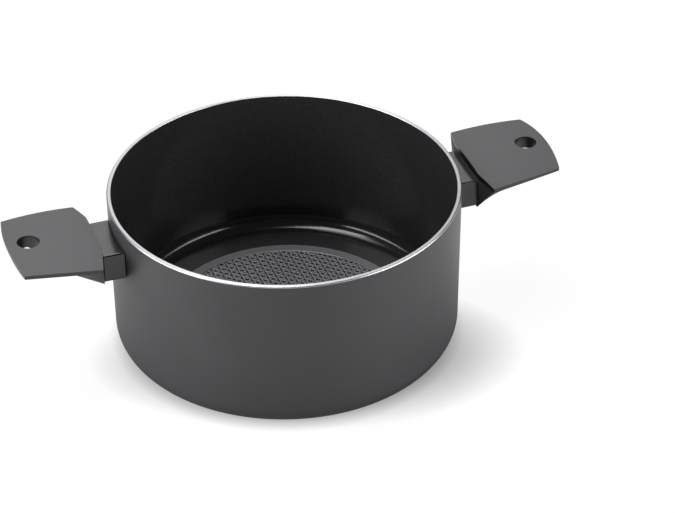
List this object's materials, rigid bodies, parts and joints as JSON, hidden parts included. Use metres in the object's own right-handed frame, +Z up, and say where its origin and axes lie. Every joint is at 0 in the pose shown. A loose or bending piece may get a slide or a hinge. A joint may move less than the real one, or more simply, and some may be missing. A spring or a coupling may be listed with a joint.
{
  "type": "braising pot",
  "caption": "Straight-sided coated aluminium braising pot with a rounded foot, a flat patterned floor, a bare turned rim and wedge-shaped side handles with hanging holes.",
  "frame": {"origin": "centre of the base, on the pot's axis, at the height of the surface that it stands on", "axes": "+X along the two handles, towards the right-hand one; +Y towards the back; +Z up along the pot's axis"},
  "size_m": [0.3842, 0.24, 0.1145],
  "materials": {
    "coated_aluminium": "dark grey satin lacquer outside, near-black non-stick coat inside, bare turned rim",
    "base_steel": "turned in fine rings",
    "bare_aluminium": "plain turned",
    "neck_phenolic": "dark grey phenolic, smooth satin",
    "grip_phenolic": "dark grey phenolic, fine matt grain",
    "fastener_steel": "zinc plated"
  },
  "bodies": {
    "root": {"vessel": "coated_aluminium", "base_disc": "base_steel", "weld_boss_right": "bare_aluminium", "neck_right": "neck_phenolic", "grip_right": "grip_phenolic", "lock_washer_right": "fastener_steel", "handle_screw_right": "fastener_steel", "weld_boss_left": "bare_aluminium", "neck_left": "neck_phenolic", "grip_left": "grip_phenolic", "lock_washer_left": "fastener_steel", "handle_screw_left": "fastener_steel"}
  },
  "joints": []
}
